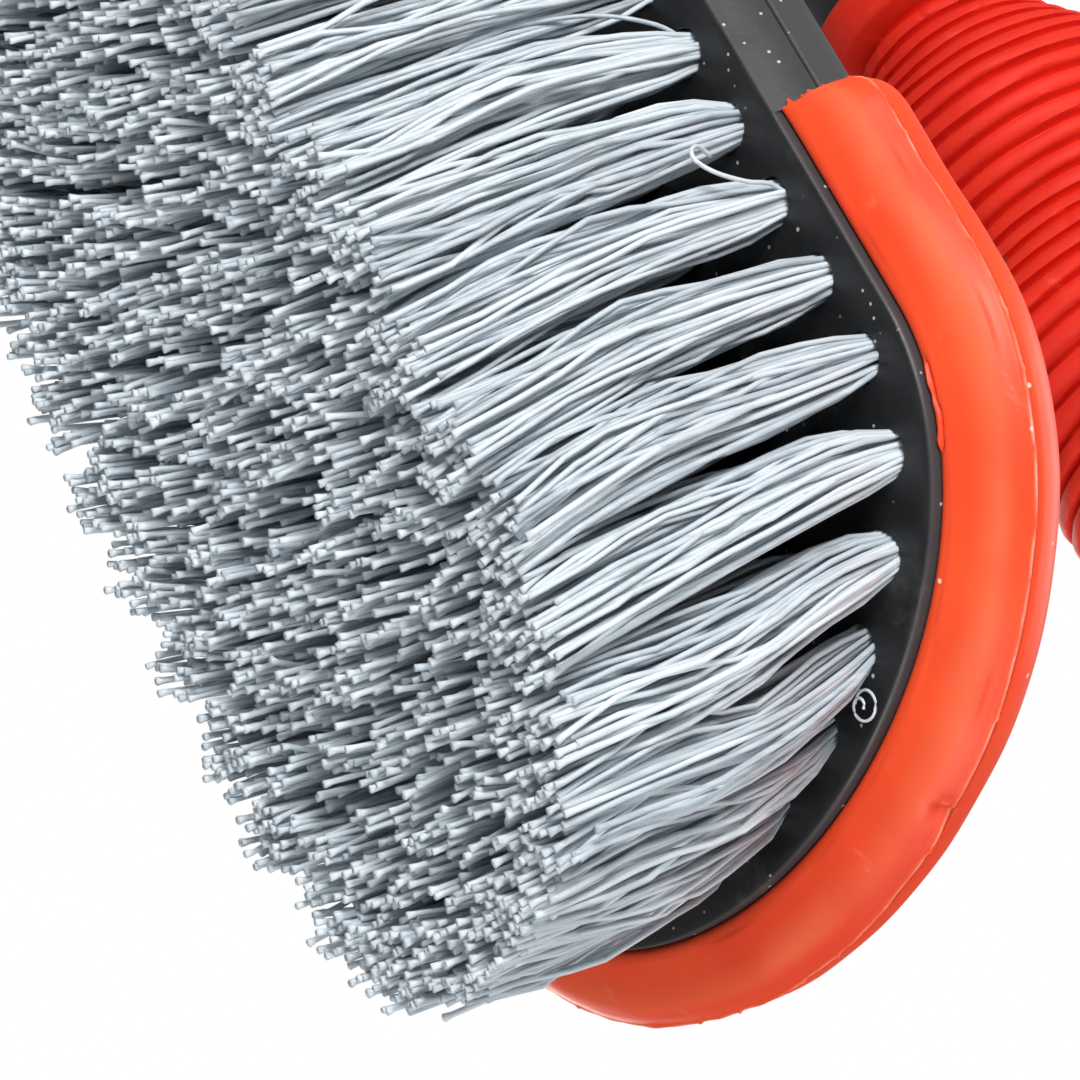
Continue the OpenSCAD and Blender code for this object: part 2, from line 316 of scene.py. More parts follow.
def tip_of(p):
    """Where a tuft that stands at p has its tip, in plan."""
    p = np.asarray(p, float)
    reach = np.where(p[..., 0] > 0, NOSE_X + END_REACH, END_REACH - HEEL_X)
    return np.stack([p[..., 0] * TIP_REACH / reach, p[..., 1] * TIP_SQUEEZE], -1)


# ---- materials ----
class Nodes:
    """A short way to wire a material's nodes. Lengths in a material are in metres."""

    def __init__(self, name):
        self.material = bpy.data.materials.new(name)
        self.material.use_nodes = True
        self.tree = self.material.node_tree
        self.shader = self.tree.nodes["Principled BSDF"]
        self.coords = self.tree.nodes.new("ShaderNodeTexCoord").outputs["Object"]

    def put(self, socket, value):
        """Links a socket into another, or sets its value."""
        if isinstance(value, bpy.types.NodeSocket):
            self.tree.links.new(value, socket)
        else:
            socket.default_value = value

    def new(self, kind, inputs=None, **props):
        n = self.tree.nodes.new(kind)
        for k, v in props.items():
            setattr(n, k, v)
        for k, v in (inputs or {}).items():
            self.put(n.inputs[k], v)
        return n

    def stretch(self, scale):
        inputs = {"Vector": self.coords, "Scale": scale}
        return self.new("ShaderNodeMapping", inputs).outputs["Vector"]

    def noise(self, scale, detail=3.0, rough=0.55, vector=None):
        vector = vector or self.coords
        inputs = {"Vector": vector, "Scale": scale, "Detail": detail, "Roughness": rough}
        return self.new("ShaderNodeTexNoise", inputs).outputs["Fac"]

    def ramp(self, fac, low, high, a=0.0, b=1.0):
        """a where fac is at low, b where it is at high, and a smooth step between them."""
        inputs = {"Value": fac, "From Min": low, "From Max": high, "To Min": a, "To Max": b}
        n = self.new("ShaderNodeMapRange", inputs, interpolation_type="SMOOTHSTEP")
        return n.outputs["Result"]

    def mix(self, fac, a, b):
        n = self.new("ShaderNodeMix", data_type="RGBA")
        colours = [s for s in n.inputs if s.type == "RGBA"]
        for socket, v in zip([n.inputs["Factor"]] + colours, (fac, a, b)):
            self.put(socket, v)
        return [s for s in n.outputs if s.type == "RGBA"][0]

    def maths(self, op, a, b):
        return self.new("ShaderNodeMath", {0: a, 1: b}, operation=op).outputs[0]

    def height(self, source):
        """The Z part of a vector."""
        return self.new("ShaderNodeSeparateXYZ", {"Vector": source}).outputs["Z"]

    def geometry(self, output):
        return self.new("ShaderNodeNewGeometry").outputs[output]

    def specks(self, scale, size, share):
        """Sparse round specks: 1 on a speck, 0 elsewhere; share is how many cells hold one."""
        v = self.new("ShaderNodeTexVoronoi", {"Vector": self.coords, "Scale": scale})
        dot = self.ramp(v.outputs["Distance"], size, size * 0.5)
        pick = self.new("ShaderNodeSeparateColor", {"Color": v.outputs["Color"]}).outputs["Red"]
        return self.maths("MULTIPLY", dot, self.ramp(pick, 1 - share, 1 - share * 0.6))

    def bump(self, height, strength, distance, normal=None):
        inputs = {"Height": height, "Strength": strength, "Distance": distance}
        if normal:
            inputs["Normal"] = normal
        return self.new("ShaderNodeBump", inputs).outputs["Normal"]

    def finish(self, **sockets):
        """Sets the shader's sockets, with _ for each space in a name."""
        for k, v in sockets.items():
            self.put(self.shader.inputs[k.replace("_", " ")], v)
        return self.material


def rgb(r, g, b):
    return (r, g, b, 1)


def black_plastic(name, base, rough_low, rough_high, dust):
    """Satin black; its sides and top get a painted sheen, a lighter grey chosen by where they face,
    so what faces down to the tips is darker.
    """
    # The first colour here is painted sheen, a lighter grey laid on the sides and top; dirt and
    # speck are dust.
    side_sheen, dirt, speck = rgb(0.075, 0.072, 0.077), rgb(0.13, 0.115, 0.10), rgb(0.55, 0.52, 0.49)
    m = Nodes(name)
    grain = m.noise(2600, 2, 0.6)
    streaks = m.noise(900, 2, 0.5, m.stretch((0.15, 1, 1)))
    dark, pale = rgb(base, base, base * 1.12), rgb(base * 1.9, base * 1.9, base * 2.05)
    col = m.mix(m.ramp(m.noise(60, 4, 0.6), 0.35, 0.7), dark, pale)
    # Painted sheen: faces turned away from straight down are mixed towards the lighter grey, by
    # their normal, as where light falls on them.
    upright = m.ramp(m.height(m.geometry("Normal")), -0.9, -0.4, 0, 0.6)
    col = m.mix(upright, col, side_sheen)
    col = m.mix(m.ramp(m.noise(140, 6, 0.75), 0.56, 0.78, 0, dust), col, dirt)
    specks, lint = m.specks(900, 0.15, 0.34), m.specks(420, 0.085, 0.26)
    col = m.mix(m.maths("MAXIMUM", specks, lint), col, speck)
    normal = m.bump(streaks, 0.10, 0.00008, m.bump(grain, 0.22, 0.00008))
    rough = m.ramp(m.noise(300, 4, 0.65), 0.3, 0.7, rough_low, rough_high)
    return m.finish(Base_Color=col, Roughness=rough, Normal=normal, Specular_IOR_Level=0.4)


def bumper_bands(m, col):
    """The bumper's paler band, a painted highlight, and its parting line: a dark edge of painted
    shade above a dusty line.
    """
    # Of these colours, the paler red is a painted highlight and the dark red is painted shade; the
    # third is dust along the flash.
    pale, dark, dusty = rgb(1.0, 0.17, 0.07), rgb(0.50, 0.025, 0.010), rgb(1.0, 0.36, 0.23)
    height = m.height(m.coords)
    middle, line = (FACE_Z + 2.3) * MM, (FACE_Z + FLASH_AT) * MM
    edge = (FACE_Z + FLASH_AT + 0.36) * MM
    # Painted highlight: a paler band at one height along the bumper, made patchy by noise, where a
    # soft light's reflection lies.
    below, above = m.ramp(height, middle - 0.0009, middle), m.ramp(height, middle + 0.0011, middle)
    highlight_band = m.maths("MULTIPLY", below, above)
    patchy = m.ramp(m.noise(70, 3), 0.3, 0.7, 0.3, 0.75)
    col = m.mix(m.maths("MULTIPLY", highlight_band, patchy), col, pale)
    off_line, off_shaded_edge = (
        m.maths("ABSOLUTE", m.maths("SUBTRACT", height, z), 0) for z in (line, edge)
    )
    # Painted shade: a dark red line just above the parting line, where the dent beside the flash
    # lies in shade.
    col = m.mix(m.ramp(off_shaded_edge, 0.00026, 0.00004, 0, 0.6), col, dark)
    broken = m.ramp(m.noise(320, 4, 0.7), 0.35, 0.65, 0.15, 0.8)
    return m.mix(m.maths("MULTIPLY", m.ramp(off_line, 0.00016, 0.00004), broken), col, dusty)


def soft_red(name, base, deep, rough, dusty, gloss, bumper=False):
    """Soft red rubber, scuffed and a little dusty; the bumper's has its bands, a painted highlight
    and painted shade, and pale dust too.
    """
    scuff, dust, grit = rgb(0.95, 0.26, 0.16), rgb(0.98, 0.62, 0.48), rgb(0.16, 0.05, 0.04)
    m = Nodes(name)
    cloud = m.noise(45, 4, 0.6)
    col = m.mix(m.ramp(cloud, 0.3, 0.7), base, deep)
    if bumper:
        col = bumper_bands(m, col)
    scuffs = m.noise(500, 5, 0.7, m.stretch((0.3, 1, 0.6)))
    col = m.mix(m.ramp(scuffs, 0.62, 0.78, 0, dusty), col, scuff)
    if bumper:
        col = m.mix(m.specks(700, 0.17, 0.045), col, dust)
    col = m.mix(m.specks(480, 0.13, 0.010), col, grit)
    normal = m.bump(m.noise(1500, 3, 0.6), 0.16, 0.0001)
    return m.finish(
        Base_Color=col,
        Roughness=m.ramp(cloud, 0.3, 0.7, rough, rough + 0.1),
        Normal=m.bump(m.noise(180, 3, 0.5), 0.12, 0.0005, normal),
        Subsurface_Weight=0.12,
        Subsurface_Radius=(1.0, 0.18, 0.08),
        Subsurface_Scale=0.0015,
        Specular_IOR_Level=gloss,
    )


def filament_plastic(name):
    """Pale grey-blue filament, each of its own shade, streaked along its length."""
    dark, pale = rgb(0.41, 0.475, 0.53), rgb(0.71, 0.775, 0.82)
    bright, dust = rgb(0.80, 0.85, 0.885), rgb(0.50, 0.51, 0.50)
    m = Nodes(name)
    each = m.geometry("Random Per Island")
    streak = m.noise(1800, 2, 0.5, m.stretch((1, 1, 0.06)))
    col = m.mix(each, dark, pale)
    col = m.mix(m.ramp(streak, 0.35, 0.65, 0, 0.35), col, bright)
    col = m.mix(m.ramp(m.noise(260, 4, 0.6), 0.5, 0.75, 0, 0.25), col, dust)
    return m.finish(
        Base_Color=col,
        Roughness=m.ramp(each, 0, 1, 0.34, 0.5),
        Normal=m.bump(streak, 0.35, 0.00012),
        Subsurface_Weight=0.06,
        Subsurface_Radius=(1, 1, 1),
        Subsurface_Scale=0.0004,
        Specular_IOR_Level=0.45,
    )


def steel(name, tone):
    """Drawn steel, dulled in patches."""
    m = Nodes(name)
    drawn = m.noise(1500, 3, 0.5, m.stretch((0.1, 1, 1)))
    dull = m.ramp(m.noise(300, 4), 0.4, 0.7, 0, 0.6)
    col = m.mix(dull, rgb(tone, tone, tone), rgb(tone * 0.6, tone * 0.58, tone * 0.55))
    return m.finish(
        Base_Color=col,
        Metallic=1.0,
        Roughness=m.ramp(drawn, 0.3, 0.7, 0.25, 0.45),
        Normal=m.bump(drawn, 0.2, 0.00005),
    )


BLOCK_BLACK = black_plastic("block_black", 0.009, 0.34, 0.5, 0.35)
HANDLE_BLACK = black_plastic("handle_black", 0.02, 0.36, 0.52, 0.15)
BUMPER_RED = soft_red(
    "bumper_red", rgb(0.94, 0.086, 0.020), rgb(0.88, 0.056, 0.012), 0.42, 0.5, 0.35, bumper=True
)
# Painted shade: the grip is the same soft red rubber as the bumper, its colours made darker and
# deeper for the shade it sits in.
GRIP_RED_SHADED = soft_red("grip_red_shaded", rgb(0.84, 0.036, 0.016), rgb(0.70, 0.020, 0.010), 0.55, 0.3, 0.2)
BRISTLE = filament_plastic("filament_grey")

# ---- drilled block ----
HOLE_SIDES = 24
COUNTERSINK = 0.12  # how far a hole widens at the face
TUFT_MOUTH_R, SCREW_MOUTH_R = HOLE_R + COUNTERSINK, SCREW_SEAT_R + 0.1


def rim_profile(covered):
    """The block's edge as (offset, height) from the face to the seam, upright under the bumper."""
    rim = [(3.5, 0), (3.75, 0), (4.02, 0.03), (4.24, 0.13), (4.40, 0.32), (4.5, 0.6)]
    if covered:
        rim = [(min(o - 0.02, PLATE_OUT), h) for o, h in rim]
        return rim + [(PLATE_OUT, h) for h in (1.2, 2.4, 3.9, 4.05, FLANGE_H)]

    def slope(h):
        return PLATE_OUT + (SIDE_OUT - PLATE_OUT) * h / FLANGE_H

    side = [(slope(h) + 0.02, h) for h in (1.2, 2.4, 3.85)]
    return rim + side + [(slope(4.0) - 0.06, 4.02), (SIDE_OUT - 0.4, FLANGE_H)]


def add_face(shell, edge, holes, circle):
    """The flat face inside the edge and between the holes."""
    apart = np.linalg.norm(np.diff(edge, axis=0), axis=1) > 1e-6
    edge = edge[np.concatenate([[True], apart])]
    points = [Vector(p) for p in edge]
    lines = [(i, (i + 1) % len(edge)) for i in range(len(edge))]
    for centre, r in holes:
        base = len(points)
        points += [Vector(centre + r * c) for c in circle]
        lines += [(base + i, base + (i + 1) % HOLE_SIDES) for i in range(HOLE_SIDES)]
    flat, _, tris, *_ = geometry.delaunay_2d_cdt(points, lines, [], 1, 1e-6)
    flat = np.array([[v.x, v.y] for v in flat])
    tris = np.array([t for t in tris if len(t) == 3])
    middle = flat[tris].mean(1)
    solid = np.ones(len(tris), bool)
    for centre, r in holes:
        solid &= np.linalg.norm(middle - centre, axis=1) > r * 0.97
    face = np.concatenate([flat, np.full((len(flat), 1), FACE_Z)], 1)
    shell.add(face, tris[solid][:, ::-1])


def drilled_block():
    shell = Shell()
    rings = [
        ring_at(np.where(UNDER_BUMPER, u[0], o[0]), np.where(UNDER_BUMPER, u[1], o[1]))
        for o, u in zip(rim_profile(False), rim_profile(True))
    ]
    shell.loft(rings, end=True)
    turn = turns(HOLE_SIDES)
    circle = np.stack([np.cos(turn), np.sin(turn)], -1)
    holes = [(p, TUFT_MOUTH_R) for p in ALL_TUFTS] + [(p, SCREW_MOUTH_R) for p in SCREWS]
    add_face(shell, rings[0][:, :2], holes, circle)
    # a tuft's hole leans as the tuft does and has a floor; a screw's seat is closed by its screw
    for centre, r in holes:
        is_screw = r > SCREW_SEAT_R
        lean = np.zeros(2) if is_screw else (centre - tip_of(centre)) / FACE_Z
        depth = SCREW_SEAT_DEPTH if is_screw else HOLE_DEPTH
        rows = []
        for grow, z in ((0, 0), (-0.1, 0.12), (-COUNTERSINK, 0.4), (-COUNTERSINK, depth)):
            xy = centre + lean * z + (r + grow) * circle
            rows.append(np.concatenate([xy, np.full((HOLE_SIDES, 1), FACE_Z + z)], 1))
        shell.loft(rows, end=not is_screw)
    shell.piece("drilled_block", BLOCK_BLACK, "brush_block")


# ---- handle body: cover, rear arch and front post ----
# the cover's edge and crown as (offset, height), and how far it then closes in on its spine
COVER_BEND = [(6.05, 4.45), (5.98, 6.2), (5.9, 7.4), (5.3, 8.7)]
COVER_CROWN = [(3.4, 10), (0, 11.2), (-5, 12.4), (-11, 13.2)]
COVER = np.vstack([[(5.6, 4.2), (5.85, 4.24)], through(COVER_BEND + COVER_CROWN, 5)])
COVER_CLOSING, SPINE_HALF, SPINE_RISE = (0.15, 0.3, 0.5, 0.7, 0.86, 0.97), 38, 0.45
UPRIGHT = math.pi / 2
OVAL_SIDES = 96


def cover_rings():
    rings = [ring_at(np.where(UNDER_BUMPER, np.minimum(o, PLATE_OUT), o), h) for o, h in COVER]
    rim = rings[-1]
    spine_x = np.clip(rim[:, 0], -SPINE_HALF, SPINE_HALF)
    spine = np.stack([spine_x, np.zeros(len(rim)), rim[:, 2]], -1)
    for t in COVER_CLOSING:
        ring = rim + (spine - rim) * t
        ring[:, 2] += SPINE_RISE * math.sin(math.pi / 2 * t)
        rings.append(ring)
    return rings


def oval(c, turn, a, b, k=2.6):
    """A ring of a squircle tube in the XZ plane: centre, direction, half depth and width, power."""
    t = -turns(OVAL_SIDES)
    u = np.sign(np.cos(t)) * np.abs(np.cos(t)) ** (2 / k)
    v = np.sign(np.sin(t)) * np.abs(np.sin(t)) ** (2 / k)
    return np.stack([c[0] - a * u * math.sin(turn), b * v, c[1] + a * u * math.cos(turn)], -1)


def foot(tree, section, fillet=3.2):
    """Rings of a foot that turns out tangent to the cover, whose surface is tree."""
    rings = []
    for theta in np.radians(np.linspace(0, 90, 8)):
        out, up = fillet * (1 - math.sin(theta)), fillet * (1 - math.cos(theta))
        x, a, b = section(FACE_Z + FEET_START + up)
        ring = oval((x, 0), UPRIGHT, a + out, b + out)
        for p in ring:
            hit = tree.ray_cast(Vector((p[0], p[1], FACE_Z + 40)), Vector((0, 0, -1)))[0]
            p[2] = (hit.z if hit else FACE_Z + 10) + up - 0.04
        rings.append(ring)
    return rings


def column(section, heights):
    """Upright rings of a leg; section(z) is its centre x, half depth and half width."""
    for z in heights:
        x, a, b = section(z)
        yield oval((x, z), UPRIGHT, a, b)


def arch_section(z):
    t = (z - FACE_Z - 8.2) / (ARCH_TURN_Z - FACE_Z - 8.2)
    flare = 1 - smooth(1.4 * t)
    return REAR_FOOT_X + 3 * flare, ARCH_HALF + 3.5 * flare, ARCH_HALF_W + 4.5 * flare


def post_section(z):
    t = (z - FACE_Z - 10.2) / (POST_RISE - 10.2)
    flare = 1 - smooth(3 * t)
    x = FRONT_FOOT_X + (POST_TOP_X - FRONT_FOOT_X) * smooth(t / 0.72)
    half_w = POST_TOP_HALF_W + 1.8 * (1 - t) + 6 * flare
    return x + 1.2 * flare, POST_HALF + 5 * flare, half_w


def arch_bend():
    """The arch above its leg: a quarter ellipse that turns into the grip's round neck."""
    reach, rise = ARCH_TOP[0] - REAR_FOOT_X, ARCH_TOP[1] - ARCH_TURN_Z
    for a in range(3, 90, 3):
        r = math.radians(a)
        centre = REAR_FOOT_X + reach * (1 - math.cos(r)), ARCH_TURN_Z + rise * math.sin(r)
        turn = math.atan2(rise * math.cos(r), reach * math.sin(r)) + GRIP_TILT * a / 90
        t = float(smooth(a / 90))
        half, half_w = (size + (NECK_R - size) * t for size in (ARCH_HALF, ARCH_HALF_W))
        yield oval(centre, turn, half, half_w, 2.6 - 0.6 * t)
    axis = np.array([math.cos(GRIP_TILT), math.sin(GRIP_TILT)])
    for s, r in ((-0.1, NECK_R), (0.4, NECK_R - 0.1), (3, NECK_R - 1.2)):
        yield oval(ARCH_TOP + axis * s, GRIP_TILT, r, r, 2)


def handle_body():
    shell = Shell()
    rings = cover_rings()
    shell.loft(rings, start=True, end=True)
    points = [Vector(p) for r in rings for p in r]
    tree = BVHTree.FromPolygons(points, grid(len(rings), len(rings[0])).tolist())
    leg = column(arch_section, np.linspace(FACE_Z + FEET_END, ARCH_TURN_Z, 10))
    shell.loft([*foot(tree, arch_section), *leg, *arch_bend()], end=True)
    leg = column(post_section, np.linspace(FACE_Z + FEET_END, FACE_Z + POST_RISE, 30))
    shell.loft([*foot(tree, post_section), *leg], end=True)
    shell.piece("handle_moulding", HANDLE_BLACK, "handle_body")


# ---- grip sleeve and end plug ----
GRIP_SIDES, PLUG_SIDES = 224, 96
RIBS = int((SLEEVE_LEN - RIB_START - 1) / RIB_PITCH)
# the collar: distance along the grip, and how far its rounded ends fall short of its radius
COLLAR = [(0.0, 0.4), (0.15, 0.15), (0.4, 0.02), *((s, 0) for s in (1.2, 2.0, 2.8, 3.3))]
COLLAR += [(3.6, 0.1), (COLLAR_LEN, 0.45)]
COLLAR_TAPER = 0.012
# one rib: a groove with rounded lips, then a rounded crest, as distance and part of RIB_DEPTH
GROOVE = [(0.0, 0.22), (0.07, 0.65), (0.16, 1.2), (0.30, 1.5), (0.52, 1.5), (0.68, 1.2)]
RIB = GROOVE + [(0.77, 0.65), (0.86, 0.22), (1.08, 0.03), (1.45, -0.06), (1.86, 0.03)]
SLEEVE_END = [(SLEEVE_LEN - 0.5, 0.0), (SLEEVE_LEN - 0.1, 0.15), (SLEEVE_LEN, 0.5)]


def crest_r(s):
    """The sleeve's radius over its ribs, at distance s along the grip."""
    r = FIRST_RIB_R + (GRIP_R - FIRST_RIB_R) * smooth((s - RIB_START) / RIB_RAMP)
    for height, at, half in (BACK_SWELL, PALM_SWELL):
        r = r + height * (1 + np.cos(np.pi * np.minimum(1, np.abs(s - at) / half))) / 2
    return float(r)


def around_grip(s, r, turn):
    """A point at distance s along the grip's axis, radius r and angle turn round it."""
    c, n = math.cos(GRIP_TILT), math.sin(GRIP_TILT)
    x, y = r * np.cos(turn), r * np.sin(turn)
    return np.stack([SLEEVE_X + s * c + x * n, y, FACE_Z + GRIP_H + s * n - x * c], -1)


def rib_rings(i, turn, g):
    """Rings of one rib, a little wavy and with up to two nicks in its crest."""
    nicks = [(int(g.integers(GRIP_SIDES)), g.uniform(0.12, 0.3)) for _ in range(g.integers(0, 3))]
    wander = 0.07 * ripple(turn / (2 * np.pi), 100 + i, 3, 3)
    uneven = 0.05 * ripple(turn / (2 * np.pi), 300 + i, 4, 5)
    for offset, depth in RIB:
        s = RIB_START + i * RIB_PITCH + offset
        r = np.full(GRIP_SIDES, crest_r(s) - RIB_DEPTH * depth)
        if depth < 0.5:
            r += uneven
            for at, deep in nicks:
                r[at] -= deep
                r[(at + 1) % GRIP_SIDES] -= deep * 0.5
        yield around_grip(s + wander, r, turn)


def grip_sleeve():
    turn, g = turns(GRIP_SIDES), rng(31)
    rings = [around_grip(0.0, NECK_R - 0.6, turn)]
    rings += [around_grip(s, COLLAR_R - COLLAR_TAPER * s - short, turn) for s, short in COLLAR]
    for i in range(RIBS):
        rings += rib_rings(i, turn, g)
    rings += [around_grip(s, crest_r(s) - RIB_DEPTH * depth, turn) for s, depth in SLEEVE_END]
    rings.append(around_grip(SLEEVE_LEN, crest_r(SLEEVE_LEN) - 2.0, turn))
    shell = Shell()
    shell.loft(rings)
    shell.piece("ribbed_sleeve", GRIP_RED_SHADED, "grip_sleeve")


def end_plug():
    r0 = crest_r(SLEEVE_LEN)
    rim = [(-1.5, 1.6), (0, 1.2), (0.05, 0.5), (0.3, 0.15)]  # past the sleeve's end, short of r0
    rows = [(SLEEVE_LEN + past, r0 - short) for past, short in rim]
    for a in np.radians(np.linspace(5, 88, 18)):
        rows.append((SLEEVE_LEN + PLUG_HEAD * math.sin(a), r0 * math.cos(a) ** 0.9))
    shell = Shell()
    shell.loft([around_grip(s, r, turns(PLUG_SIDES)) for s, r in rows], end=True)
    shell.piece("grip_end_plug", HANDLE_BLACK, "end_plug")


# ---- nose bumper ----
# its section as (offset, height): inner wall, top, outer bulge, underside, inner lip
BUMPER_SECTION = [
    (4.4, 1.35), (4.45, 3.0), (4.45, 6.0), (4.4, 9.3), (4.6, 9.75), (5.1, 9.85), (5.8, 9.75),
    (6.8, 9.45), (7.8, 9.0), (8.9, 8.2), (9.6, 7.4), (10.1, 6.5), (10.32, 5.4), (10.36, 4.7),
    (10.3, 4.2), (10.0, 3.6), (9.5, 2.95), (8.8, 2.35), (7.9, 1.95), (7.0, 1.62), (6.2, 1.25),
    (5.5, 0.98), (4.95, 0.92), (4.6, 1.05), (4.4, 1.35),
]
END_EASE = 4.0  # length over which each end of the bumper rounds off
BUMPER_NOSE_STOPS = 301
SCAR_TURN, TEAR_TURNS = -17, (-80, -64)  # places on the nose, in degrees round it


def bumper_stops():
    """Stops along the bumper: point, normal, distance from its end, degrees round the nose."""
    lead = END_EASE * (1 - np.cos(np.linspace(0, np.pi / 2, 12)))
    run = np.concatenate([lead, np.linspace(END_EASE, BUMPER_BACK, 30)[1:-1]])
    nose = np.linspace(-90, 90, BUMPER_NOSE_STOPS)
    parts = (
        (*side_stops(BUMPER_X + run, -1), run, np.full(len(run), -90.0)),
        (*end_stop(NOSE_X, nose), np.full(len(nose), BUMPER_BACK), nose),
        (*side_stops(BUMPER_X + run[::-1], 1), run[::-1], np.full(len(run), 90.0)),
    )
    return [np.concatenate(column) for column in zip(*parts)]


def bumper_skin(section):
    """Rings of the section all along the bumper, with what moulding and handling left on it."""
    p, n, back, turn = bumper_stops()
    along = run_length(p)
    o, h = section[:, 0][None], section[:, 1][None]

    def wave(length, seed, waves):
        return ripple(along / length, seed, waves)[:, None]

    rounded = 0.45 + 0.55 * np.sqrt(np.clip(1 - (1 - back / END_EASE) ** 2, 0, 1))
    out = PLATE_OUT + (o - PLATE_OUT) * np.where(back >= END_EASE, 1, rounded)[:, None]
    # the parting line's thin flash, uneven along its length, and the dent beside it
    flash = 0.20 + 0.07 * wave(9, 5, 4) + 0.14 * (np.abs(wave(2.3, 6, 3)) > 1.15)
    outside = o > 9
    on_line, beside = bell(h - FLASH_AT, 0.13) * outside, bell(h - FLASH_AT - 0.42, 0.2) * outside
    out = out + np.clip(flash, 0.08, 0.42) * on_line - 0.12 * beside
    # a small scar where the parting line was trimmed
    scar = bell(turn - SCAR_TURN, 1.6)[:, None] * bell(h - FLASH_AT + 0.5, 0.7) * (o > 8)
    out = out - 0.45 * scar * (1 + 0.5 * wave(0.9, 14, 3))
    # slow swells in the soft skin
    out = out + 0.07 * wave(21, 8, 3) * ((o > 5.2) & (h < 9))
    lift = 0.09 * wave(17, 9, 3) * ((h < 3.2) & (o > 5.5))
    # a torn sliver along the inner lip: a cut beside a raised edge
    torn = smooth((turn - TEAR_TURNS[0]) / 2.5) * smooth((TEAR_TURNS[1] - turn) / 2.5)
    torn = torn[:, None]
    cut_at = 5.02 + 0.10 * wave(4.5, 15, 3) - 0.25 * (1 - torn)
    low = (h < 1.3) & (o < 6.5)
    cut = torn * bell(o - cut_at, 0.11) * low
    sliver = torn * smooth((cut_at - o) / 0.12) * low
    lift = lift + 0.42 * cut - 0.16 * sliver * (1 + 0.6 * wave(3, 16, 3))
    x, y = (p[:, i : i + 1] + n[:, i : i + 1] * out for i in (0, 1))
    return np.stack([x, y, np.broadcast_to(FACE_Z + h + lift, out.shape)], -1)


def nose_bumper():
    section = through(BUMPER_SECTION, 4)[:-1]
    rings = bumper_skin(section)
    # the ends are ragged where the mould closed, and each is closed by a slightly smaller ring
    around = np.arange(len(section)) / len(section)
    caps = []
    for end, seed in ((0, 21), (-1, 22)):
        ragged = np.clip(0.28 * ripple(around * 3, seed, 6, 3) + 0.12, 0, 0.9)
        rings[end, :, 0] -= ragged * (section[:, 0] > 4.7)
        cap = rings[end] + (rings[end].mean(0) - rings[end]) * 0.12
        cap[:, 0] = BUMPER_X - 0.02
        caps.append(cap)
    shell = Shell()
    shell.loft([caps[0], *rings, caps[1]], start=True, end=True)
    shell.piece("bumper_skin", BUMPER_RED, "nose_bumper")


# ---- tufts of filaments ----
EDGE_PER_TUFT, ROW_PER_TUFT = 68, 46
FILAMENT_R, TUBE_SIDES = 0.225, 6
ROOT_R = 1.72  # radius of the bunch of roots in a hole
TIP_SPREAD, TIP_SCATTER = [3.6, 3.1], 0.5  # how far apart the tips are, along and across the head
# how far each ring of a filament is from the face to its tip
LEVELS = np.array([-0.07, 0, 0.09, 0.19, 0.30, 0.41, 0.52, 0.63, 0.74, 0.85, 0.978, 1])
REACH_LIMIT = HEAD_HALF - 0.35


def tubes(paths, radii):
    """Tubes along paths (n, m, 3) with radii (n, m): vertices, side faces, end faces."""
    n, m, _ = paths.shape
    tangent = np.gradient(paths, axis=1)
    tangent /= np.linalg.norm(tangent, axis=2, keepdims=True)
    ref = np.where(np.abs(tangent[..., :1]) < 0.9, [1.0, 0, 0], [0, 1.0, 0])
    u = np.cross(tangent, ref)
    u /= np.linalg.norm(u, axis=2, keepdims=True)
    v = np.cross(tangent, u)
    turn = turns(TUBE_SIDES)
    ring = u[:, :, None] * np.cos(turn)[:, None] + v[:, :, None] * np.sin(turn)[:, None]
    verts = paths[:, :, None] + ring * radii[:, :, None, None]
    base = (np.arange(n) * m * TUBE_SIDES)[:, None, None]
    sides = (base + grid(m, TUBE_SIDES)[None]).reshape(-1, 4)
    cap = (base[:, 0] + (m - 1) * TUBE_SIDES + np.arange(TUBE_SIDES)).reshape(-1, TUBE_SIDES)
    return verts.reshape(-1, 3), sides, cap


